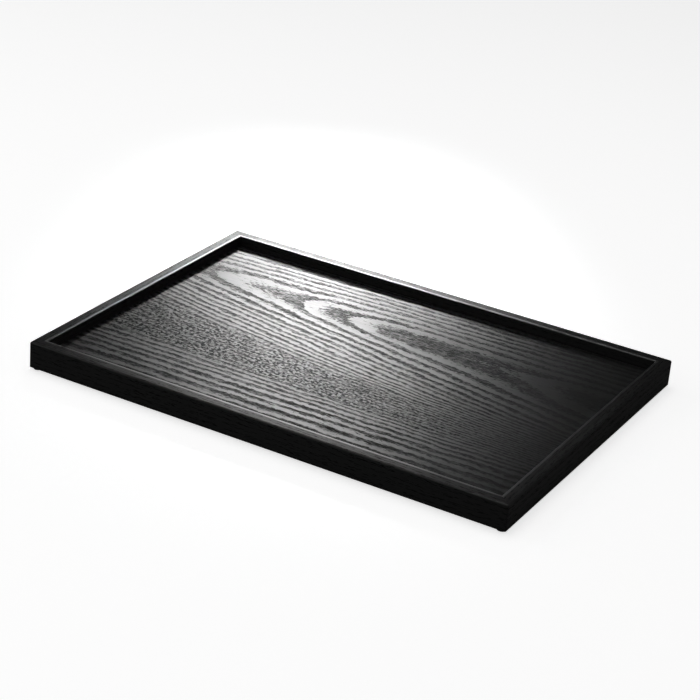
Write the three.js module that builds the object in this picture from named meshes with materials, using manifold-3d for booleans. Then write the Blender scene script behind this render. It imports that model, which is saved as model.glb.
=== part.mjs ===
// A rectangular wooden tea tray: four mitred rails, grooved round a veneered plywood panel,
// keyed at each corner by a hidden spline and standing on four anti-slip pads.
// Millimetres, +Z up. The origin is the middle of the footprint, on the table.

import * as THREE from 'three';
import { mergeVertices } from 'three/addons/utils/BufferGeometryUtils.js';
import Module from 'manifold-3d';

const wasm = await Module();
wasm.setup();

// Overall sizes
const trayLength = 420;
const trayWidth = 300;
const railHeight = 22;
const railWidth = 10.5;
const wellDepth = 9.5; // from the rim's top down to the serving face

// Rounded edges of a rail's section
const outerRound = 1.5;
const innerRound = 1;
const footRound = 0.6;
const cornerRound = 1.5; // upright edge at each outer corner
const arcSteps = 3; // facets in half of each rounded edge

// Layers of the panel, from the serving face down
const faceVeneer = 0.6;
const upperCrossband = 1.2;
const corePly = 2.4;
const lowerCrossband = 1.2;
const backingVeneer = 0.6;
const glueLine = 0.1; // between layers, between mitre faces and over the pads

// Groove that holds the panel's edge
const grooveDepth = 4;
const grooveClearance = 0.15; // above and below the panel
const panelEdgeGap = 0.3; // from the panel's edge to the bottom of the groove

// Splines hidden in the mitres
const splineThickness = 1.6;
const splineReach = 2.5; // into each of the two rails
const splineHeight = 14;
const splineRise = 3.5; // from the rail's underside to the spline's lower end
const splineClearance = 0.25;
const splineWeb = 0.5; // wood left between a spline's slot and the panel's groove

// Anti-slip pads
const padDiameter = 8;
const padThickness = 1.5;
const padRound = 0.4;
const padSides = 32;

// Heights that follow from the sizes above
const layers = [
  ['face_veneer', faceVeneer, 'veneer'],
  ['upper_crossband', upperCrossband, 'ply'],
  ['core_ply', corePly, 'ply'],
  ['lower_crossband', lowerCrossband, 'ply'],
  ['backing_veneer', backingVeneer, 'veneer'],
];
const glueLines = layers.length - 1;
const panelThickness = layers.reduce((sum, layer) => sum + layer[1], glueLines * glueLine);
const railBase = padThickness + glueLine;
const servingRise = railHeight - wellDepth; // serving face above the rail's underside
const grooveTop = servingRise + grooveClearance;
const grooveFloor = servingRise - panelThickness - grooveClearance;

// Where a spline sits along the mitre's diagonal, measured in from the outer corner
const webDiagonal = (railWidth - grooveDepth) * Math.SQRT2;
const splineInset = webDiagonal - splineWeb - splineClearance - splineThickness / 2;

const corners = [
  ['front_left', -1, -1],
  ['front_right', 1, -1],
  ['back_right', 1, 1],
  ['back_left', -1, 1],
];

const finishes = {
  rail: new THREE.MeshStandardMaterial({ color: 0x101011, roughness: 0.45, metalness: 0 }),
  veneer: new THREE.MeshStandardMaterial({ color: 0x0e0e0f, roughness: 0.35, metalness: 0 }),
  ply: new THREE.MeshStandardMaterial({ color: 0xb9986b, roughness: 0.8, metalness: 0 }),
  spline: new THREE.MeshStandardMaterial({ color: 0xc2a274, roughness: 0.75, metalness: 0 }),
  pad: new THREE.MeshStandardMaterial({ color: 0x1b1b1c, roughness: 0.9, metalness: 0 }),
};

function solidFrom(geometry) {
  const bare = geometry.clone();
  bare.deleteAttribute('normal');
  bare.deleteAttribute('uv');
  const merged = mergeVertices(bare);
  return new wasm.Manifold(new wasm.Mesh({
    numProp: 3,
    vertProperties: merged.attributes.position.array,
    triVerts: new Uint32Array(merged.index.array),
  }));
}

function geometryFrom(solid) {
  const mesh = solid.getMesh();
  const geometry = new THREE.BufferGeometry();
  geometry.setAttribute('position', new THREE.BufferAttribute(mesh.vertProperties, 3));
  geometry.setIndex(new THREE.BufferAttribute(mesh.triVerts, 1));
  geometry.computeVertexNormals();
  return geometry;
}

function named(name, geometry, finish) {
  const mesh = new THREE.Mesh(geometry, finishes[finish]);
  mesh.name = name;
  return mesh;
}

// A rail's section: x runs in from the outer face, y up from the underside.
function railSection() {
  const section = new THREE.Shape();
  const inner = railWidth;
  const top = railHeight;
  const slotEnd = railWidth - grooveDepth;
  const quarter = Math.PI / 2;
  section.moveTo(footRound, 0);
  section.lineTo(inner - footRound, 0);
  section.absarc(inner - footRound, footRound, footRound, -quarter, 0);
  section.lineTo(inner, grooveFloor);
  section.lineTo(slotEnd, grooveFloor);
  section.lineTo(slotEnd, grooveTop);
  section.lineTo(inner, grooveTop);
  section.lineTo(inner, top - innerRound);
  section.absarc(inner - innerRound, top - innerRound, innerRound, 0, quarter);
  section.lineTo(outerRound, top);
  section.absarc(outerRound, top - outerRound, outerRound, quarter, 2 * quarter);
  section.lineTo(0, footRound);
  section.absarc(footRound, footRound, footRound, 2 * quarter, 3 * quarter);
  return section;
}

// The section run out along x, with both ends drawn back at 45 degrees into mitres.
// The outer face lies on y = 0 and the inner one at y = railWidth.
function mitredBar(length) {
  const bar = new THREE.ExtrudeGeometry(railSection(), {
    depth: 1,
    bevelEnabled: false,
    curveSegments: arcSteps,
  });
  const position = bar.attributes.position;
  const setback = glueLine / Math.SQRT2;
  for (let i = 0; i < position.count; i += 1) {
    const inward = position.getX(i);
    const up = position.getY(i);
    const end = position.getZ(i) < 0.5 ? -1 : 1;
    position.setXYZ(i, end * (length / 2 - inward - setback), inward, up);
  }
  return bar;
}

// The cutter for a spline's slot at one end of a rail, across the mitre.
function splineSlot(length, end) {
  const slot = new THREE.BoxGeometry(
    2 * (splineReach + splineClearance),
    splineThickness + 2 * splineClearance,
    splineHeight + 2 * splineClearance,
  );
  const along = splineInset / Math.SQRT2;
  slot.rotateZ(end * Math.PI / 4);
  slot.translate(end * (length / 2 - along), along, splineRise + splineHeight / 2);
  return slot;
}

// The cutter that rounds the upright edge at one end of a rail's outer face.
function cornerCutter(length, end) {
  const outside = cornerRound; // how far the cutter stands clear of the wood
  const centre = length / 2 - cornerRound;
  const outline = new THREE.Shape();
  outline.moveTo(centre, -outside);
  outline.lineTo(length / 2 + outside, -outside);
  outline.lineTo(length / 2 + outside, cornerRound);
  outline.lineTo(length / 2, cornerRound);
  outline.absarc(centre, cornerRound, cornerRound, 0, -Math.PI / 2, true);
  const cutter = new THREE.ExtrudeGeometry(outline, {
    depth: railHeight + 2 * outside,
    bevelEnabled: false,
    curveSegments: arcSteps,
  });
  cutter.translate(0, 0, -outside);
  if (end < 0) {
    // A half turn about y carries the cutter to the other end and keeps its faces outward.
    cutter.rotateY(Math.PI);
    cutter.translate(0, 0, railHeight);
  }
  return cutter;
}

function railGeometry(length) {
  let wood = solidFrom(mitredBar(length));
  for (const end of [-1, 1]) {
    wood = wood.subtract(solidFrom(splineSlot(length, end)));
    wood = wood.subtract(solidFrom(cornerCutter(length, end)));
  }
  return geometryFrom(wood);
}

function rails() {
  const group = new THREE.Group();
  const places = [
    ['front_rail', trayLength, 0, [0, -trayWidth / 2]],
    ['right_rail', trayWidth, Math.PI / 2, [trayLength / 2, 0]],
    ['back_rail', trayLength, Math.PI, [0, trayWidth / 2]],
    ['left_rail', trayWidth, -Math.PI / 2, [-trayLength / 2, 0]],
  ];
  for (const [name, length, turn, [x, y]] of places) {
    const rail = named(name, railGeometry(length), 'rail');
    rail.rotation.z = turn;
    rail.position.set(x, y, railBase);
    group.add(rail);
  }
  return group;
}

function panel() {
  const group = new THREE.Group();
  const margin = railWidth - grooveDepth + panelEdgeGap;
  const length = trayLength - 2 * margin;
  const width = trayWidth - 2 * margin;
  let top = railBase + servingRise;
  for (const [name, thickness, finish] of layers) {
    const layer = named(name, new THREE.BoxGeometry(length, width, thickness), finish);
    layer.position.z = top - thickness / 2;
    group.add(layer);
    top -= thickness + glueLine;
  }
  return group;
}

function splines() {
  const group = new THREE.Group();
  const along = splineInset / Math.SQRT2;
  for (const [corner, sideX, sideY] of corners) {
    const strip = new THREE.BoxGeometry(2 * splineReach, splineThickness, splineHeight);
    const spline = named(`${corner}_spline`, strip, 'spline');
    spline.rotation.z = -sideX * sideY * Math.PI / 4;
    spline.position.set(
      sideX * (trayLength / 2 - along),
      sideY * (trayWidth / 2 - along),
      railBase + splineRise + splineHeight / 2,
    );
    group.add(spline);
  }
  return group;
}

function padGeometry() {
  const radius = padDiameter / 2;
  const outline = new THREE.Path();
  outline.moveTo(0, 0);
  outline.lineTo(radius - padRound, 0);
  outline.absarc(radius - padRound, padRound, padRound, -Math.PI / 2, 0);
  outline.lineTo(radius, padThickness);
  outline.lineTo(0, padThickness);
  const pad = new THREE.LatheGeometry(outline.getPoints(arcSteps), padSides);
  pad.rotateX(Math.PI / 2);
  return pad;
}

function pads() {
  const group = new THREE.Group();
  for (const [corner, sideX, sideY] of corners) {
    const pad = named(`${corner}_pad`, padGeometry(), 'pad');
    pad.position.set(
      sideX * (trayLength - railWidth) / 2,
      sideY * (trayWidth - railWidth) / 2,
      0,
    );
    group.add(pad);
  }
  return group;
}

const tray = new THREE.Group();
tray.name = 'tea_tray';
tray.add(rails(), panel(), splines(), pads());

export default tray;
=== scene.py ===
"""A rectangular tea tray in black-stained, open-pore ash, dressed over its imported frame."""

import math

import bpy
from mathutils import Euler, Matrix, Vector


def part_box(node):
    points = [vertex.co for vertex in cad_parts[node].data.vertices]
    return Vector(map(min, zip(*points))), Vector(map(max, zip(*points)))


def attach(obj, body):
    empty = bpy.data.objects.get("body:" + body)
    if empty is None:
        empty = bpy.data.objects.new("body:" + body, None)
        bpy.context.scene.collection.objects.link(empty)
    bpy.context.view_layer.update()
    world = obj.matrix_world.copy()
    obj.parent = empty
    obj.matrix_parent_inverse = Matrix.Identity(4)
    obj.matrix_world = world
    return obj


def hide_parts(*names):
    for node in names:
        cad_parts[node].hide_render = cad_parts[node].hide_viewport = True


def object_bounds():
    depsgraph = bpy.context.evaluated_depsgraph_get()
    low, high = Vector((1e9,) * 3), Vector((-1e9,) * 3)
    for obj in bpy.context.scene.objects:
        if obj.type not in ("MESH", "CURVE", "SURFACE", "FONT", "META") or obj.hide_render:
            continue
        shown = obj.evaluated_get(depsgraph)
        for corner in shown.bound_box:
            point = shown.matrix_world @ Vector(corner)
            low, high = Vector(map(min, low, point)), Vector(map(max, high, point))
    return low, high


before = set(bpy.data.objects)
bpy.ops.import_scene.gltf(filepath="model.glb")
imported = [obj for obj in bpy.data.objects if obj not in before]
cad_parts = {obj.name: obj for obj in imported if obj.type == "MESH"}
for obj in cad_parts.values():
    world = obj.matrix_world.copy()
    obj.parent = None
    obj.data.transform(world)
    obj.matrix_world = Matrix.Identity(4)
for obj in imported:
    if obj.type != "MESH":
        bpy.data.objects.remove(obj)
cad_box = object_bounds()

MM = 0.001
TURN = 2 * math.pi

# Sizes that the frame gives
tray_low, tray_high = Vector(cad_box[0]), Vector(cad_box[1])
tray_length = tray_high.x - tray_low.x
tray_width = tray_high.y - tray_low.y
rail_low, rail_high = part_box("right_rail")
rail_width = rail_high.x - rail_low.x
rail_height = rail_high.z - rail_low.z
veneer_low, veneer_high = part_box("face_veneer")
backing_low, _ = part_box("backing_veneer")
pad_low, pad_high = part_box("front_left_pad")

# Rounded edges and clearances of the joinery
OUTER_ROUND = 1.5 * MM
INNER_ROUND = 1.0 * MM
FOOT_ROUND = 0.6 * MM
LIP_ROUND = 0.25 * MM
CORNER_ROUND = 1.5 * MM
GROOVE_CLEARANCE = 0.15 * MM
PANEL_EDGE_GAP = 0.3 * MM
MITRE_GLUE = 0.1 * MM

# Fineness of the modelled pieces
RAIL_STEPS = 49
END_CROWDING = 3.0  # power by which a rail's steps crowd towards its ends
ROUND_STEPS = 10
ROUND_RUN = 1.2  # straight run kept on either side of a rounded edge, in radii
VENEER_COLUMNS = 136
VENEER_ROWS = 560
PAD_SIDES = 48
WELD = 0.001 * MM  # points nearer than this are one
WOOD_CREASE = 30  # degrees past which two faces meet in a sharp edge
PAD_CREASE = 25

# Figure of the crown-cut face veneer, in millimetres and growth rings
CROWN_AXIS = 68.5  # how far behind the middle the nested arches run
CROWN_DRIFT = -0.054  # how much the arches lean to the front, going right
CROWN_WIDTH = 22.0  # how far from their axis the rings turn from flat to steep
CROWN_CORE = 5.0  # half the width in which the cut lies quite flat
RING_RATE = 0.1  # rings per millimetre in the wide-ringed wood
ARCH_SLOPE = 0.001  # rings per millimetre along the arches' axis, between the arches
ARCH_OFFSET = -0.061  # rings there at the middle of the tray, before the arches add theirs
ARCHES = [  # place along the tray, reach, rings
    (-174, 32.0, 0.9),
    (-83, 17.0, 0.94),
    (-29.5, 26.0, 1.08),
    (147, 23.6, 0.77),
]
FRONT_FLANK = 0.012  # rings per millimetre along the grain, in front of the arches and behind them
BACK_FLANK = 0.0082
FRONT_REACH = 40.0  # how far from their axis the arches shape the rings, in front and behind
BACK_REACH = 57.0
SIDE_BLEND = 12.0  # how far on either side of the axis these change over
FLANK_START = -180.0  # where along the tray the flanks start to count
FRONT_GRAIN = (0.0, -85.0)  # where straight grain takes over from the arches, going to the front
FRONT_DRIFT = 0.03  # how much it leans to the back, going right
FRONT_CALM = 0.85  # share of the change along the grain that is lost there
NARROW_RINGS = 8.5  # rings added where years of slow growth come to the surface
NARROW_RUN = (-1.0, 15.5)  # the rings over which they are added
RELIEF = 0.04 * MM  # how far the soft early wood lies below the late wood

# Waves over the face veneer: length and width in millimetres, layer of the noise, its detail
SWAY = (150, 55, 3.1, 1.0)
SWAY_REACH = 3.0  # how far it shifts the grain, in millimetres
RIPPLE = (28, 12, 7.7, 2.0)
RIPPLE_REACH = 6.0
PATCHES = (24, 5, 1.3, 1.0)

# Runs of the figure: start, end, and the values there
SPECKLE_IN = (4.4, 7.0, 0.0, 1.0)  # speckled wood of the slow years, in rings
SPECKLE_OUT = (10.4, 12.4, 1.0, 0.0)
SPECKLE_FADE = (20.0, 140.0, 1.0, 0.3)  # in millimetres to the right
SPECKLE_PATCHES = (0.35, 0.6, 0.55, 1.0)
SPECKLE_COVER = 0.75  # share of the rings' bands that the speckle hides
BACK_FADE = (75.0, 110.0, 1.0, 0.85)  # weaker bands, in millimetres to the back
SHEEN_EVENED = (70.0, 190.0, 0.0, 0.6)  # evener sheen, in millimetres to the right

# Early wood in a ring, as shares of the ring: in a steep cut and in a flat one
EARLY_FULL = (0.1, 0.04)
EARLY_THINS = (0.34, 0.4)
EARLY_GONE = (0.74, 0.58)
FRAYED_START = 0.4  # how far the vessels fray a ring's start, and its end besides
FRAYED_END = 0.45

# Changes from year to year: pace per ring and layer of the noise
YEAR_SHIFT = (0.7, 5.0)
YEAR_SHIFT_REACH = 0.5  # how far a ring's start moves, in rings
YEAR_STRENGTH = (0.45, 9.0)
YEAR_STRENGTH_RUN = (0.35, 0.6, 0.9, 1.0)

# Straight grain of the rails and the backing veneer
LONG_RAIL_RINGS = 2.3  # millimetres from ring to ring
SHORT_RAIL_RINGS = 2.6
BACKING_RINGS = 4.5
RIFT_ACROSS = 0.86  # how the rings stand in the wood: shares across it and in its depth
RIFT_DEPTH = 0.5
RIFT_SWAY_REACH = 3.5
RIFT_STRENGTH = 0.45

# Noise in the wood: length along the grain and width across it in millimetres, detail, roughness
RIFT_SWAY = (120, 20, 1.0, 0.5)
FRAY = (4.0, 1.7, 2.0, 0.5)
FIBRE = (26, 0.5, 3.0, 0.6)
CLOUD = (90, 45, 2.0, 0.5)
FLECK = (3.0, 2.0, 1.0, 0.5)
DASH = (10, 2.6, 1.0, 0.5)
STAGGER = (70, 0.8, 0.0, 0.5)
BARE_STREAK = (60, 3, 4.0, 0.6)
BARE_FLECK = (4, 0.4, 2.0, 0.5)
STIPPLE = (0.3, 0.3, 2.0, 0.5)
DUST = (3, 3, 3.0, 0.5)

# Vessels, open under the lacquer, in millimetres
VESSEL_LENGTH = 5.5
VESSEL_WIDTH = 0.45
STAGGER_REACH = 16.0  # how far neighbours are set off along the grain
VESSEL_WALL = (0.4, 0.65, 1.0, 0.0)  # run from a vessel's hollow to the wood, in widths
EARLY_VESSELS = 0.92  # share of places that hold one, in early, speckled and any wood
SPECKLE_VESSELS = 0.3
ANY_VESSELS = 0.03

# Satin lacquer: its roughness, and the share of it that has sunk in between the vessels
RAIL_SATIN = 0.42
RAIL_SUNK = 0.35
FACE_SATIN = 0.4
FACE_SUNK = 0.06
BACKING_SATIN = 0.47
BACKING_SUNK = 0.3
LACQUER_IOR = 1.62
EARLY_ROUGH = 0.05
FIBRE_ROUGH = 0.08
CLOUD_ROUGH = 0.04
FIBRE_HEIGHT = 0.2
GRAIN_DEPTH = 0.03 * MM
DASH_RUN = (0.38, 0.56, 0.5, 1.0)
FLECK_RUN = (0.38, 0.6, 0.68, 1.0)
SPECKLE_RUN = (0.44, 0.56, 0.0, 1.0)
FLAT_SHEEN = 0.25  # sheen that early wood keeps in a flat cut, and that late wood loses there
FLAT_SUNK = 0.2
FIBRE_SUNK = 0.4
EVEN_SHARE = 0.5  # dull share of the surface where its sheen is evened out
HOLLOW_ROUGH = 0.8  # bare wood where the lacquer has sunk in
HOLLOW_FIBRE = 0.2
HOLLOW_GLOSS = 0.12

# Black stain, as levels of grey
STAIN_DARK = 0.0058
STAIN_PALE = 0.0086
STAIN_EARLY = 0.0052
STAIN_RUBBED = 0.02
HOLLOW_DARK = 0.005
HOLLOW_PALE = 0.009

# Finish along the rails' edges
ARRIS_START = 2.4 * MM  # how far from an edge the rubbing starts, and where it is full
ARRIS_FULL = 0.5 * MM
RUB_RUN = (0.35, 0.65, 0.25, 1.0)
RUB_SHARE = 0.35
LACQUER_BEAD = 2.0 * MM  # where the lacquer gathers along a rail's inner edge
BEAD_END = 1.3  # where it has thinned out again, in widths of the bead
BEAD_START = 0.5  # how far down the inner round it starts, and where it is full, in radii
BEAD_FULL = 0.1
BEAD_ROUGH = 0.4
BEAD_IOR = 1.6

# Unfinished wood inside: pale and dark streaks
BIRCH = ((0.62, 0.47, 0.31, 1), (0.48, 0.34, 0.2, 1))
BEECH = ((0.6, 0.42, 0.26, 1), (0.46, 0.3, 0.17, 1))
BARE_ROUGH = 0.7
BARE_ROUGH_CHANGE = 0.2
BARE_DEPTH = 0.05 * MM

# Pads: clean and dusty rubber, and the ringed grip in shares of a pad's radius and thickness
RUBBER_CLEAN = (0.018, 0.018, 0.019, 1)
RUBBER_DUSTY = (0.035, 0.034, 0.033, 1)
RUBBER_ROUGH = 0.78
RUBBER_ROUGH_CHANGE = 0.2
RUBBER_DEPTH = 0.04 * MM
GRIP_RINGS = (0.2, 0.53)
GRIP_WIDTH = 0.18
GRIP_SLOPE = 0.05
GRIP_DEPTH = 0.17
PAD_EDGE = [(0.88, 0.0), (0.96, 0.08), (1.0, 0.27), (1.0, 0.93), (0.97, 1.0)]

# Camera, fitted to the photograph
VIEW_TURN = math.radians(28.05)
VIEW_RISE = math.radians(25.28)
VIEW_ROLL = math.radians(4.87)
VIEW_DISTANCE = 1757.0 * MM
VIEW_AIM = Vector((-14.6, 16.2, 14.1)) * MM
SENSOR = 36.0  # in millimetres, as Blender takes them
LENS = 111.91

# Floor and world, in metres and levels of grey
FLOOR_SIZE = 12.0
FLOOR_DROP = 0.1 * MM
FLOOR_PALE = 0.8
FLOOR_DARK = 0.18
FLOOR_ROUGH = 0.9
FLOOR_GLOW = 0.7  # what the camera sees of the floor besides the light that falls on it
WORLD_GLOW = 0.02

# Softboxes: metres, degrees and watts
BACK_SOFTBOX = {
    "place": (-0.530, 0.849, 0.669), "aim": (-0.151, 0.207, 0.014),
    "size": (0.15, 0.21), "spread": 24, "power": 0.44,
}
TOP_SOFTBOX = {
    "place": (-0.2, 0.2, 2.0), "aim": (0.0, 0.0, 0.0),
    "size": (1.2, 1.2), "spread": 180, "power": 9.0,
}

# Dim screens round the tray: degrees from its front to its right, and watts; sizes in metres
SCREENS = [(-80, 3.4), (-15, 3.2), (50, 1.5), (115, 2.0)]
SCREEN_DISTANCE = 1.6
SCREEN_HEIGHT = 0.85
SCREEN_SIZE = (1.6, 1.2)
SCREEN_SPREAD = 180


class Wire:
    """An output socket of a node tree. Arithmetic on it adds Math nodes to that tree."""

    def __init__(self, tree, socket=None):
        self.tree = tree
        self.socket = socket

    def add(self, kind, settings=None, inputs=None, out=0):
        """Adds any node: its settings first, then the values or links of its sockets.

        The setting "choices" is the number of items in an Index Switch.
        """
        node = self.tree.nodes.new(kind)
        for name, value in (settings or {}).items():
            if name == "choices":
                for _ in range(value - len(node.index_switch_items)):
                    node.index_switch_items.new()
            else:
                setattr(node, name, value)
        for key, value in (inputs or {}).items():
            if isinstance(value, Wire):
                self.tree.links.new(value.socket, node.inputs[key])
            else:
                node.inputs[key].default_value = value
        return None if out is None else Wire(self.tree, node.outputs[out])

    def math(self, operation, *terms):
        return self.add("ShaderNodeMath", {"operation": operation}, dict(enumerate(terms)))

    def __add__(self, other):
        return self.math("ADD", self, other)

    def __radd__(self, other):
        return self.math("ADD", other, self)

    def __sub__(self, other):
        return self.math("SUBTRACT", self, other)

    def __rsub__(self, other):
        return self.math("SUBTRACT", other, self)

    def __mul__(self, other):
        return self.math("MULTIPLY", self, other)

    def __rmul__(self, other):
        return self.math("MULTIPLY", other, self)

    def __truediv__(self, other):
        return self.math("DIVIDE", self, other)

    def __rtruediv__(self, other):
        return self.math("DIVIDE", other, self)

    def __pow__(self, other):
        return self.math("POWER", self, other)

    def __lt__(self, other):
        return self.math("LESS_THAN", self, other)

    def __gt__(self, other):
        return self.math("GREATER_THAN", self, other)

    def __abs__(self):
        return self.math("ABSOLUTE", self)

    def root(self):
        return self.math("SQRT", self)

    def tanh(self):
        return self.math("TANH", self)

    def fraction(self):
        return self.math("FRACT", self)

    def sign(self):
        return self.math("SIGN", self)

    def most(self, other):
        return self.math("MAXIMUM", self, other)

    def least(self, other):
        return self.math("MINIMUM", self, other)

    def ease(self, start, end, low=0.0, high=1.0):
        """Runs smoothly from low to high as this value goes from start to end."""
        return self.add("ShaderNodeMapRange", {"interpolation_type": "SMOOTHSTEP"},
                        {"Value": self, "From Min": start, "From Max": end, "To Min": low, "To Max": high})

    def axes(self):
        """The three numbers of a vector."""
        split = self.add("ShaderNodeSeparateXYZ", None, {0: self})
        return [Wire(self.tree, out) for out in split.socket.node.outputs]

    def vector(self, x, y, z=0.0):
        return self.add("ShaderNodeCombineXYZ", None, {"X": x, "Y": y, "Z": z})

    def noise(self, where, detail, rough=0.5):
        """Smooth noise about 0.5 on a ready-scaled vector."""
        return self.add("ShaderNodeTexNoise", {"noise_dimensions": "3D"},
                        {"Vector": where, "Scale": 1.0, "Detail": detail, "Roughness": rough})

    def pick(self, kind, values):
        """The one of some values that stands at this index."""
        return self.add("GeometryNodeIndexSwitch", {"data_type": kind, "choices": len(values)},
                        {0: self, **dict(enumerate(values, 1))})

    def blend(self, share, first, second):
        """Two colours mixed by a share."""
        return self.add("ShaderNodeMix", {"data_type": "RGBA"}, {0: share, 6: first, 7: second}, out=2)


# Growth rings

def face_noise(flow, x, y, wave):
    """Noise over the face veneer."""
    length, width, layer, detail = wave
    return flow.noise(flow.vector(x / length, y / width, layer), detail)


def grain_noise(flow, place, grain):
    """Noise drawn out along the grain."""
    along, across, depth = place
    length, width, detail, rough = grain
    return flow.noise(flow.vector(along / length, across / width, depth / width), detail, rough)


def year_noise(flow, rings, change):
    """Noise that goes from year to year."""
    pace, layer = change
    return flow.noise(flow.vector(rings * pace, 0.0, layer), 1.0)


def by_cut(shares, flat):
    """Goes from a steep cut's share to a flat cut's."""
    steep, level = shares
    return steep + (level - steep) * flat


def early_wood(flow, rings, flat, frayed):
    """Share of open early wood in a ring: it starts sharply and thins out into the late wood."""
    shift = YEAR_SHIFT_REACH * (year_noise(flow, rings, YEAR_SHIFT) - 0.5)
    strength = year_noise(flow, rings, YEAR_STRENGTH).ease(*YEAR_STRENGTH_RUN)
    place = (rings + shift + FRAYED_START * frayed).fraction()
    opened = place.ease(0.0, by_cut(EARLY_FULL, flat))
    closed = (place + FRAYED_END * frayed).ease(by_cut(EARLY_THINS, flat), by_cut(EARLY_GONE, flat))
    return strength * opened * (1.0 - closed)


def crown_early(flow, x, y, frayed=0.0):
    """Early wood of the face veneer.

    With it come how flat the cut lies in a ring, how far speckled wood blurs the rings, and how far the
    sheen is evened out.
    """
    sway = SWAY_REACH * (face_noise(flow, x, y, SWAY) - 0.5)
    ripple = RIPPLE_REACH * (face_noise(flow, x, y, RIPPLE) - 0.5)
    front = y.ease(*FRONT_GRAIN)
    lean = CROWN_DRIFT + (FRONT_DRIFT - CROWN_DRIFT) * front
    across = y - CROWN_AXIS - lean * x + sway + ripple
    arches = ARCH_OFFSET + ARCH_SLOPE * x
    for place, reach, rings in ARCHES:
        arches = arches + 0.5 * rings * (((x - place) / reach).tanh() + 1.0)
    flank = across.ease(-SIDE_BLEND, SIDE_BLEND, FRONT_FLANK, BACK_FLANK) * (x - FLANK_START)
    reach = across.ease(-SIDE_BLEND, SIDE_BLEND, FRONT_REACH, BACK_REACH)
    flat = abs(across).ease(CROWN_CORE, reach, 1.0, 0.0)
    rings = RING_RATE * ((across * across + CROWN_WIDTH ** 2).root() - CROWN_WIDTH)
    rings = rings - (flank + flat * (arches - flank)) * (1.0 - FRONT_CALM * front)
    early = early_wood(flow, rings + NARROW_RINGS * rings.ease(*NARROW_RUN), flat, frayed)
    patches = face_noise(flow, x, y, PATCHES).ease(*SPECKLE_PATCHES)
    blurred = rings.ease(*SPECKLE_IN) * rings.ease(*SPECKLE_OUT) * patches * x.ease(*SPECKLE_FADE)
    early = early * (1.0 - SPECKLE_COVER * blurred) * y.ease(*BACK_FADE)
    return early, flat, blurred, x.ease(*SHEEN_EVENED)


def crown_figure(flow, place, frayed):
    along, across, _ = place
    return crown_early(flow, along, across, frayed)


def rift_figure(spacing):
    """The same for straight grain, whose fine rings the lacquer nearly fills."""

    def rift_early(flow, place, frayed):
        _, across, depth = place
        sway = RIFT_SWAY_REACH * (grain_noise(flow, place, RIFT_SWAY) - 0.5)
        rings = (RIFT_ACROSS * across + RIFT_DEPTH * depth + sway) / spacing
        return RIFT_STRENGTH * early_wood(flow, rings, 0.0, frayed), 0.0, 0.0, 0.0

    return rift_early


# Materials

def new_material(name):
    material = bpy.data.materials.new(name)
    material.use_nodes = True
    tree = material.node_tree
    tree.nodes.clear()
    return material, Wire(tree)


def close_material(flow, shader):
    flow.add("ShaderNodeOutputMaterial", None, {"Surface": shader}, out=None)


def principled(flow, inputs):
    return flow.add("ShaderNodeBsdfPrincipled", None, inputs, out="BSDF")


def grey(level):
    return (level, level, level, 1)


def millimetres(flow):
    """Object coordinates in millimetres."""
    return [axis * (1 / MM) for axis in flow.add("ShaderNodeTexCoord", out="Object").axes()]


def wood_place(flow, along_axis):
    """Object coordinates in millimetres: along the grain, across it and in the depth."""
    x, y, z = millimetres(flow)
    return (x, y, z) if along_axis == "x" else (y, x, z)


def stored(flow, label):
    """A share that a modelled piece holds at its points."""
    return flow.add("ShaderNodeAttribute", {"attribute_name": label}, None, "Fac")


def open_vessels(flow, place, early, blurred):
    """Share of an open vessel: short tubes along the grain, crowded in the early wood."""
    along, across, depth = place
    stagger = STAGGER_REACH * grain_noise(flow, place, STAGGER)
    cells = flow.vector((along + stagger) / VESSEL_LENGTH, across / VESSEL_WIDTH, depth / VESSEL_WIDTH)
    vessel = flow.add("ShaderNodeTexVoronoi", {"voronoi_dimensions": "3D"}, {"Vector": cells, "Scale": 1.0})
    chance = Wire(flow.tree, vessel.socket.node.outputs["Color"]).axes()[0]
    crowd = EARLY_VESSELS * early + SPECKLE_VESSELS * blurred + ANY_VESSELS
    return vessel.ease(*VESSEL_WALL) * (chance < crowd)


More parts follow.
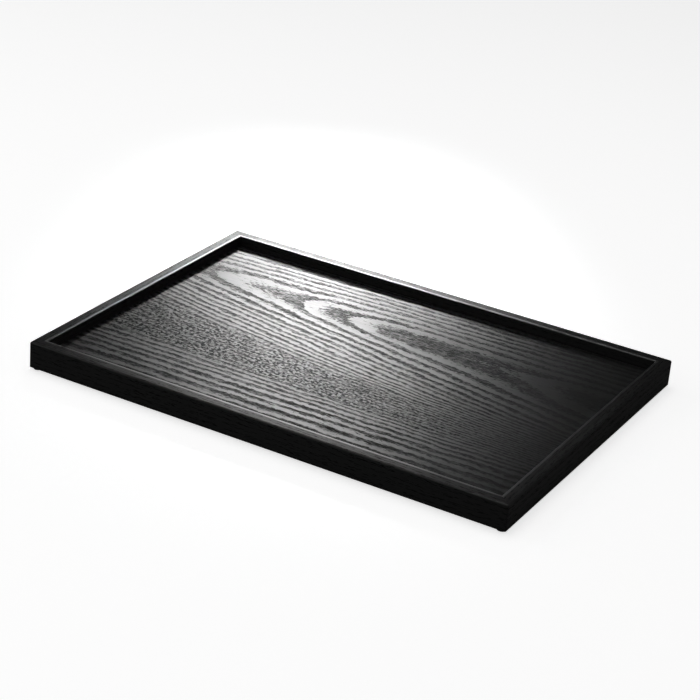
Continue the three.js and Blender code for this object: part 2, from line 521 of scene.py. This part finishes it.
def ash_finish(name, figure, along_axis, satin, sunk):
    """Black-stained ash under a thin satin lacquer that leaves the vessels open."""
    material, flow = new_material(name)
    place = wood_place(flow, along_axis)
    early, flat, blurred, evened = figure(flow, place, grain_noise(flow, place, FRAY) - 0.5)
    fibre = grain_noise(flow, place, FIBRE)
    cloud = grain_noise(flow, place, CLOUD)
    fleck = grain_noise(flow, place, FLECK)
    dash = grain_noise(flow, place, DASH)
    arris = stored(flow, "arris")
    bead = stored(flow, "bead")

    pore = open_vessels(flow, place, early, blurred) * (1.0 - evened)
    starved = early * dash.ease(*DASH_RUN) * fleck.ease(*FLECK_RUN) * (1.0 - FLAT_SHEEN * flat)
    starved = starved + blurred * fleck.ease(*SPECKLE_RUN)
    starved = starved.most(sunk + FLAT_SUNK * flat + FIBRE_SUNK * (fibre - 0.5))
    starved = starved + evened * (EVEN_SHARE - starved)
    open_wood = (1.0 - (1.0 - pore) * (1.0 - starved)) * (1.0 - bead)

    rubbed = arris * cloud.ease(*RUB_RUN)
    stain = flow.blend(cloud, grey(STAIN_DARK), grey(STAIN_PALE))
    stain = flow.blend(early, stain, grey(STAIN_EARLY))
    stain = flow.blend(RUB_SHARE * rubbed, stain, grey(STAIN_RUBBED))
    rough = satin + EARLY_ROUGH * early + FIBRE_ROUGH * (fibre - 0.5) + CLOUD_ROUGH * (cloud - 0.5)
    height = FIBRE_HEIGHT * fibre - pore
    normal = flow.add("ShaderNodeBump", None, {"Distance": GRAIN_DEPTH, "Height": height})
    film = principled(flow, {
        "Base Color": stain, "Roughness": rough, "Normal": normal, "IOR": LACQUER_IOR,
        "Coat Weight": bead, "Coat Roughness": BEAD_ROUGH, "Coat IOR": BEAD_IOR})
    hollow = principled(flow, {
        "Base Color": flow.blend(fleck, grey(HOLLOW_DARK), grey(HOLLOW_PALE)),
        "Roughness": HOLLOW_ROUGH + HOLLOW_FIBRE * fibre, "Specular IOR Level": HOLLOW_GLOSS})
    close_material(flow, flow.add("ShaderNodeMixShader", None, {0: open_wood, 1: film, 2: hollow}))
    return material


def bare_wood(name, along_axis, pale, dark):
    """Unfinished wood for the plies and splines inside."""
    material, flow = new_material(name)
    place = wood_place(flow, along_axis)
    fleck = grain_noise(flow, place, BARE_FLECK)
    colour = flow.blend(grain_noise(flow, place, BARE_STREAK), pale, dark)
    rough = BARE_ROUGH + BARE_ROUGH_CHANGE * (fleck - 0.5)
    normal = flow.add("ShaderNodeBump", None, {"Distance": BARE_DEPTH, "Height": fleck})
    close_material(flow, principled(flow, {"Base Color": colour, "Roughness": rough, "Normal": normal}))
    return material


def pad_rubber():
    material, flow = new_material("pad_rubber")
    place = millimetres(flow)
    dust = grain_noise(flow, place, DUST)
    stipple = grain_noise(flow, place, STIPPLE)
    colour = flow.blend(dust, RUBBER_CLEAN, RUBBER_DUSTY)
    rough = RUBBER_ROUGH + RUBBER_ROUGH_CHANGE * (dust - 0.5)
    normal = flow.add("ShaderNodeBump", None, {"Distance": RUBBER_DEPTH, "Height": stipple})
    close_material(flow, principled(flow, {"Base Color": colour, "Roughness": rough, "Normal": normal}))
    return material


# Pieces grown by Geometry Nodes

FLOAT = "NodeSocketFloat"
COUNT = "NodeSocketInt"
PLACE = "NodeSocketVector"
FINISH = "NodeSocketMaterial"


def new_tree(name, sockets):
    """A Geometry Nodes tree with named inputs, and a wire from each of them."""
    tree = bpy.data.node_groups.new(name, "GeometryNodeTree")
    for label, kind in sockets.items():
        tree.interface.new_socket(label, in_out="INPUT", socket_type=kind)
    tree.interface.new_socket("Geometry", in_out="OUTPUT", socket_type="NodeSocketGeometry")
    given = tree.nodes.new("NodeGroupInput")
    return tree, {label: Wire(tree, given.outputs[label]) for label in sockets}


def close_tree(shape, finish):
    """Ends a tree: instances made real, the finish set, the shape handed out."""
    real = shape.add("GeometryNodeRealizeInstances", None, {0: shape})
    dressed = real.add("GeometryNodeSetMaterial", None, {"Geometry": real, "Material": finish})
    out = shape.tree.nodes.new("NodeGroupOutput")
    shape.tree.links.new(dressed.socket, out.inputs["Geometry"])


def grow(name, tree, values, crease):
    """Runs a tree once and keeps what it makes as a plain mesh at the origin."""
    piece = bpy.data.objects.new(name, bpy.data.meshes.new(name))
    bpy.context.scene.collection.objects.link(piece)
    modifier = piece.modifiers.new(tree.name, "NODES")
    modifier.node_group = tree
    for item in tree.interface.items_tree:
        if item.in_out == "INPUT":
            modifier[item.identifier] = values[item.name]
    graph = bpy.context.evaluated_depsgraph_get()
    mesh = bpy.data.meshes.new_from_object(piece.evaluated_get(graph), depsgraph=graph)
    piece.modifiers.remove(modifier)
    mesh.name = name
    mesh.shade_smooth()
    mesh.set_sharp_from_angle(angle=math.radians(crease))
    piece.data = mesh
    return piece


# Rails

UP = (0, 1)
DOWN = (0, -1)
INWARD = (1, 0)
OUTWARD = (-1, 0)
NO_LENGTH = 1e-12  # keeps a division from meeting zero


def section_corners(given):
    """Corners of a rail's section, from the outer face in and the underside up.

    A rounded one also has its radius and the ways to the points before and after it.
    """
    width, height, bead = given["Width"], given["Height"], given["Bead"]
    slot_end = width - given["Groove depth"]
    return [
        (0.0, 0.0, given["Foot round"], UP, INWARD),
        (width, 0.0, given["Foot round"], OUTWARD, UP),
        (width, given["Groove floor"], given["Lip round"], DOWN, OUTWARD),
        (slot_end, given["Groove floor"]),
        (slot_end, given["Groove top"]),
        (width, given["Groove top"], given["Lip round"], OUTWARD, UP),
        (width, height, given["Inner round"], DOWN, OUTWARD),
        (width - bead, height),
        (width - BEAD_END * bead, height),
        (0.0, height, given["Outer round"], INWARD, DOWN),
    ]


def rail_section(flow, given):
    """The closed curve of a rail's section."""
    points = []
    for across, up, *rounding in section_corners(given):
        if not rounding:
            points.append((across, up, 0.0))
            continue
        radius, before, after = rounding
        run = ROUND_RUN * radius
        points.append((across + before[0] * run, up + before[1] * run, 0.0))
        points.append((across, up, radius))
        points.append((across + after[0] * run, up + after[1] * run, 0.0))
    index = flow.add("GeometryNodeInputIndex")
    spot = index.pick("VECTOR", [flow.vector(across, up) for across, up, _ in points])
    bend = index.pick("FLOAT", [radius for _, _, radius in points])
    section = flow.add("GeometryNodeCurvePrimitiveCircle", None, {"Resolution": len(points)})
    section = flow.add("GeometryNodeSetPosition", None, {"Geometry": section, "Position": spot})
    return flow.add("GeometryNodeFilletCurve", {"mode": "POLY"}, {
        "Curve": section, "Count": given["Round steps"], "Radius": bend, "Limit Radius": True})


def mark_edges(flow, given, bar):
    """Stores where a rail's finish is rubbed, at its edges, and where it gathers, at the inner one."""
    width, height, bead = given["Width"], given["Height"], given["Bead"]
    inward, up, _ = flow.add("GeometryNodeInputPosition").axes()
    from_side = inward.least(width - inward)
    from_end = up.least(height - up)
    rubbed = (from_side * from_side + from_end * from_end).root().ease(ARRIS_START, ARRIS_FULL)
    beaded = (width - inward).ease(BEAD_END * bead, bead)
    beaded = beaded * (height - up).ease(BEAD_START * given["Inner round"], BEAD_FULL * given["Inner round"])
    for label, share in (("arris", rubbed), ("bead", beaded)):
        bar = flow.add("GeometryNodeStoreNamedAttribute", {"data_type": "FLOAT", "domain": "POINT"}, {
            "Geometry": bar, "Name": label, "Value": share})
    return bar


def mitred_place(flow, given):
    """Where a bar's points go: drawn back into the mitres, and rounded at the outer corners."""
    inward, up, run = flow.add("GeometryNodeInputPosition").axes()
    corner = given["Corner round"]
    half = given["Length"] * 0.5
    reach = run.sign() * (1.0 - (1.0 - abs(run)) ** END_CROWDING)
    along = reach * (half - inward - given["Setback"])
    past = abs(along) - half + corner
    out = corner - inward
    at_corner = (past > 0.0) * (out > 0.0)
    pull = past.most(out) / (past * past + out * out + NO_LENGTH).root()
    pull = 1.0 + at_corner * (pull - 1.0)
    along = along.sign() * (half - corner + past * pull)
    return flow.vector(along, corner - out * pull, up)


def mitred_rail_tree():
    """A rail's section run along its length, mitred and rounded at the outer corners."""
    tree, given = new_tree("mitred_rail", {
        "Length": FLOAT, "Width": FLOAT, "Height": FLOAT,
        "Outer round": FLOAT, "Inner round": FLOAT, "Foot round": FLOAT, "Lip round": FLOAT,
        "Groove depth": FLOAT, "Groove floor": FLOAT, "Groove top": FLOAT,
        "Corner round": FLOAT, "Bead": FLOAT, "Setback": FLOAT, "Steps": COUNT, "Round steps": COUNT,
        "Turn": PLACE, "Place": PLACE, "Finish": FINISH,
    })
    flow = Wire(tree)
    line = flow.add("GeometryNodeCurvePrimitiveLine", None, {"Start": (0, 0, -1), "End": (0, 0, 1)})
    line = flow.add("GeometryNodeResampleCurve", None, {"Curve": line, "Count": given["Steps"]})
    bar = flow.add("GeometryNodeCurveToMesh", None, {
        "Curve": line, "Profile Curve": rail_section(flow, given), "Fill Caps": True})
    bar = mark_edges(flow, given, bar)
    bar = flow.add("GeometryNodeSetPosition", None, {"Geometry": bar, "Position": mitred_place(flow, given)})
    bar = flow.add("GeometryNodeTransform", None, {
        "Geometry": bar, "Translation": given["Place"], "Rotation": given["Turn"]})
    close_tree(bar, given["Finish"])
    return tree


def make_rails():
    tree = mitred_rail_tree()
    long_grain = rift_figure(LONG_RAIL_RINGS)
    short_grain = rift_figure(SHORT_RAIL_RINGS)
    long_finish = ash_finish("black_ash_long_rail", long_grain, "x", RAIL_SATIN, RAIL_SUNK)
    short_finish = ash_finish("black_ash_short_rail", short_grain, "y", RAIL_SATIN, RAIL_SUNK)
    sizes = {
        "Width": rail_width, "Height": rail_height,
        "Outer round": OUTER_ROUND, "Inner round": INNER_ROUND,
        "Foot round": FOOT_ROUND, "Lip round": LIP_ROUND,
        "Groove depth": veneer_high.x + PANEL_EDGE_GAP - (tray_high.x - rail_width),
        "Groove floor": backing_low.z - GROOVE_CLEARANCE - rail_low.z,
        "Groove top": veneer_high.z + GROOVE_CLEARANCE - rail_low.z,
        "Corner round": CORNER_ROUND, "Bead": LACQUER_BEAD, "Setback": MITRE_GLUE / math.sqrt(2),
        "Steps": RAIL_STEPS, "Round steps": ROUND_STEPS,
    }
    rails = [
        ("front", tray_length, 0.0, (0, tray_low.y), long_finish),
        ("right", tray_width, 0.25, (tray_high.x, 0), short_finish),
        ("back", tray_length, 0.5, (0, tray_high.y), long_finish),
        ("left", tray_width, 0.75, (tray_low.x, 0), short_finish),
    ]
    for side, length, share, (x, y), finish in rails:
        rail = grow(f"{side}_rail_wood", tree, {
            **sizes, "Length": length, "Turn": Euler((0, 0, share * TURN)),
            "Place": (x, y, rail_low.z), "Finish": finish}, WOOD_CREASE)
        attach(rail, "root")
        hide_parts(f"{side}_rail")


# Panel

def face_veneer_tree():
    """A sheet whose top sinks a little wherever the ring count says early wood, closed below."""
    tree, given = new_tree("crown_cut_veneer", {
        "Length": FLOAT, "Width": FLOAT, "Top": FLOAT, "Foot": FLOAT, "Relief": FLOAT,
        "Columns": COUNT, "Rows": COUNT, "Finish": FINISH,
    })
    flow = Wire(tree)
    sheet = flow.add("GeometryNodeMeshGrid", None, {
        "Size X": given["Length"], "Size Y": given["Width"],
        "Vertices X": given["Columns"], "Vertices Y": given["Rows"]})
    x, y, _ = flow.add("GeometryNodeInputPosition").axes()
    sunk = crown_early(flow, x * (1 / MM), y * (1 / MM))[0]
    sheet = flow.add("GeometryNodeSetPosition", None, {
        "Geometry": sheet, "Position": flow.vector(x, y, given["Top"] - given["Relief"] * sunk)})
    faces = flow.add("GeometryNodeInputMeshEdgeNeighbors")
    skirt = flow.add("GeometryNodeExtrudeMesh", {"mode": "EDGES"}, {
        "Mesh": sheet, "Selection": faces < 2.0, "Offset Scale": 0.0})
    rim = Wire(tree, skirt.socket.node.outputs["Top"])
    skirt = flow.add("GeometryNodeSetPosition", None, {
        "Geometry": skirt, "Selection": rim, "Position": flow.vector(x, y, given["Foot"])})
    hem = flow.add("GeometryNodeMeshToCurve", None, {"Mesh": skirt, "Selection": rim})
    base = flow.add("GeometryNodeFillCurve", {"mode": "NGONS"}, {"Curve": hem})
    base = flow.add("GeometryNodeSetPosition", None, {
        "Geometry": base, "Offset": flow.vector(0.0, 0.0, given["Foot"])})
    base = flow.add("GeometryNodeFlipFaces", None, {"Mesh": base})
    both = flow.add("GeometryNodeJoinGeometry", None, {0: skirt})
    tree.links.new(base.socket, both.socket.node.inputs[0])
    closed = flow.add("GeometryNodeMergeByDistance", None, {"Geometry": both, "Distance": WELD})
    close_tree(closed, given["Finish"])
    return tree


def make_panel():
    crown = ash_finish("black_ash_face", crown_figure, "x", FACE_SATIN, FACE_SUNK)
    plain = ash_finish("black_ash_backing", rift_figure(BACKING_RINGS), "x", BACKING_SATIN, BACKING_SUNK)
    face = grow("face_veneer_wood", face_veneer_tree(), {
        "Length": veneer_high.x - veneer_low.x, "Width": veneer_high.y - veneer_low.y,
        "Top": veneer_high.z, "Foot": veneer_low.z, "Relief": RELIEF,
        "Columns": VENEER_COLUMNS, "Rows": VENEER_ROWS, "Finish": crown}, WOOD_CREASE)
    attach(face, "root")
    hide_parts("face_veneer")

    cross_ply = bare_wood("birch_cross_ply", "y", *BIRCH)
    long_ply = bare_wood("birch_long_ply", "x", *BIRCH)
    spline_wood = bare_wood("spline_beech", "y", *BEECH)
    dress = {
        "backing_veneer": plain,
        "upper_crossband": cross_ply,
        "core_ply": long_ply,
        "lower_crossband": cross_ply,
    }
    for corner in ("front_left", "front_right", "back_right", "back_left"):
        dress[f"{corner}_spline"] = spline_wood
    for node, material in dress.items():
        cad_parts[node].material_slots[0].material = material


# Pads

def pad_outline():
    """Half of a pad's section, from the middle of its underside round to the middle of its top."""
    outline = [(0.0, 0.0)]
    for start in GRIP_RINGS:
        end = start + GRIP_WIDTH
        outline.append((start, 0.0))
        outline.append((start + GRIP_SLOPE, GRIP_DEPTH))
        outline.append((end - GRIP_SLOPE, GRIP_DEPTH))
        outline.append((end, 0.0))
    return [*outline, *PAD_EDGE, (0.0, 1.0)]


def pad_tree():
    """One pad with a ringed grip, turned from its outline and set on the four corners of a grid."""
    tree, given = new_tree("corner_pads", {
        "Span X": FLOAT, "Span Y": FLOAT, "Radius": FLOAT, "Thickness": FLOAT, "Sides": COUNT,
        "Finish": FINISH,
    })
    flow = Wire(tree)
    spots = [(radius, 0.0, height) for radius, height in pad_outline()]
    points = len(spots)
    sheet = flow.add("GeometryNodeMeshGrid", None, {
        "Size X": 1.0, "Size Y": 1.0, "Vertices X": given["Sides"] + 1.0, "Vertices Y": points})
    index = flow.add("GeometryNodeInputIndex")
    step = flow.math("MODULO", index, float(points))
    turn = flow.math("FLOOR", (index + 0.5) / float(points)) / given["Sides"] * TURN
    radius, _, up = step.pick("VECTOR", spots).axes()
    radius = radius * given["Radius"]
    place = flow.vector(radius * flow.math("COSINE", turn), radius * flow.math("SINE", turn),
                        up * given["Thickness"])
    pad = flow.add("GeometryNodeSetPosition", None, {"Geometry": sheet, "Position": place})
    pad = flow.add("GeometryNodeMergeByDistance", None, {"Geometry": pad, "Distance": WELD})
    corners = flow.add("GeometryNodeMeshGrid", None, {
        "Size X": given["Span X"], "Size Y": given["Span Y"], "Vertices X": 2, "Vertices Y": 2})
    pads = flow.add("GeometryNodeInstanceOnPoints", None, {"Points": corners, "Instance": pad})
    close_tree(pads, given["Finish"])
    return tree


def make_pads():
    middle = (pad_low + pad_high) / 2
    pads = grow("corner_pads", pad_tree(), {
        "Span X": -2 * middle.x, "Span Y": -2 * middle.y, "Radius": (pad_high.x - pad_low.x) / 2,
        "Thickness": pad_high.z - pad_low.z, "Sides": PAD_SIDES, "Finish": pad_rubber()}, PAD_CREASE)
    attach(pads, "root")
    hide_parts("front_left_pad", "front_right_pad", "back_right_pad", "back_left_pad")


# Stage

def camera_ray(flow):
    return flow.add("ShaderNodeLightPath", None, None, "Is Camera Ray")


def make_floor():
    """A white floor for the camera. The tray itself sees a darker one, so that its sides stay black."""
    material, flow = new_material("studio_floor")
    pale = principled(flow, {"Base Color": grey(FLOOR_PALE), "Roughness": FLOOR_ROUGH})
    glow = flow.add("ShaderNodeEmission", None, {"Color": grey(1), "Strength": FLOOR_GLOW})
    white = flow.add("ShaderNodeAddShader", None, {0: pale, 1: glow})
    dark = principled(flow, {"Base Color": grey(FLOOR_DARK), "Roughness": FLOOR_ROUGH})
    close_material(flow, flow.add("ShaderNodeMixShader", None, {0: camera_ray(flow), 1: dark, 2: white}))
    bpy.ops.mesh.primitive_plane_add(size=FLOOR_SIZE, location=(0, 0, -FLOOR_DROP))
    floor = bpy.context.object
    floor.name = "studio_floor"
    floor.data.materials.append(material)


def make_softbox(name, place, aim, size, spread, power):
    light = bpy.data.lights.new(name, "AREA")
    light.shape = "RECTANGLE"
    light.size, light.size_y = size
    light.spread = math.radians(spread)
    light.energy = power
    lamp = bpy.data.objects.new(name, light)
    lamp.location = place
    lamp.visible_camera = False
    lamp.rotation_euler = (Vector(aim) - Vector(place)).to_track_quat("-Z", "Y").to_euler()
    bpy.context.scene.collection.objects.link(lamp)


def make_light():
    """A gridded softbox behind the back left corner, a wide one overhead, and dim screens all round."""
    make_softbox("back_softbox", **BACK_SOFTBOX)
    make_softbox("top_softbox", **TOP_SOFTBOX)
    for turn, power in SCREENS:
        way = math.radians(turn)
        place = (SCREEN_DISTANCE * math.sin(way), -SCREEN_DISTANCE * math.cos(way), SCREEN_HEIGHT)
        make_softbox(f"screen_{turn}", place, (0.0, 0.0, 0.0), SCREEN_SIZE, SCREEN_SPREAD, power)


def make_world():
    """Nearly dark for the tray, pale behind the floor for the camera."""
    world = bpy.data.worlds.new("studio_world")
    world.use_nodes = True
    world.node_tree.nodes.clear()
    flow = Wire(world.node_tree)
    glow = WORLD_GLOW + (FLOOR_GLOW - WORLD_GLOW) * camera_ray(flow)
    sky = flow.add("ShaderNodeBackground", None, {"Color": grey(1), "Strength": glow})
    flow.add("ShaderNodeOutputWorld", None, {"Surface": sky}, out=None)
    bpy.context.scene.world = world


def make_camera():
    camera = bpy.data.cameras.new("photo_camera")
    camera.sensor_width = SENSOR
    camera.lens = LENS
    view = bpy.data.objects.new("photo_camera", camera)
    level_back = math.cos(VIEW_RISE)
    back = Vector((
        math.sin(VIEW_TURN) * level_back,
        -math.cos(VIEW_TURN) * level_back,
        math.sin(VIEW_RISE),
    ))
    view.location = VIEW_AIM + VIEW_DISTANCE * back
    level = back.to_track_quat("Z", "Y").to_matrix()
    roll = Euler((0, 0, VIEW_ROLL)).to_matrix()
    view.rotation_euler = (level @ roll).to_euler()
    bpy.context.scene.collection.objects.link(view)
    bpy.context.scene.camera = view


make_camera()
make_rails()
make_panel()
make_pads()
make_floor()
make_light()
make_world()
bpy.context.scene.view_settings.view_transform = "Standard"
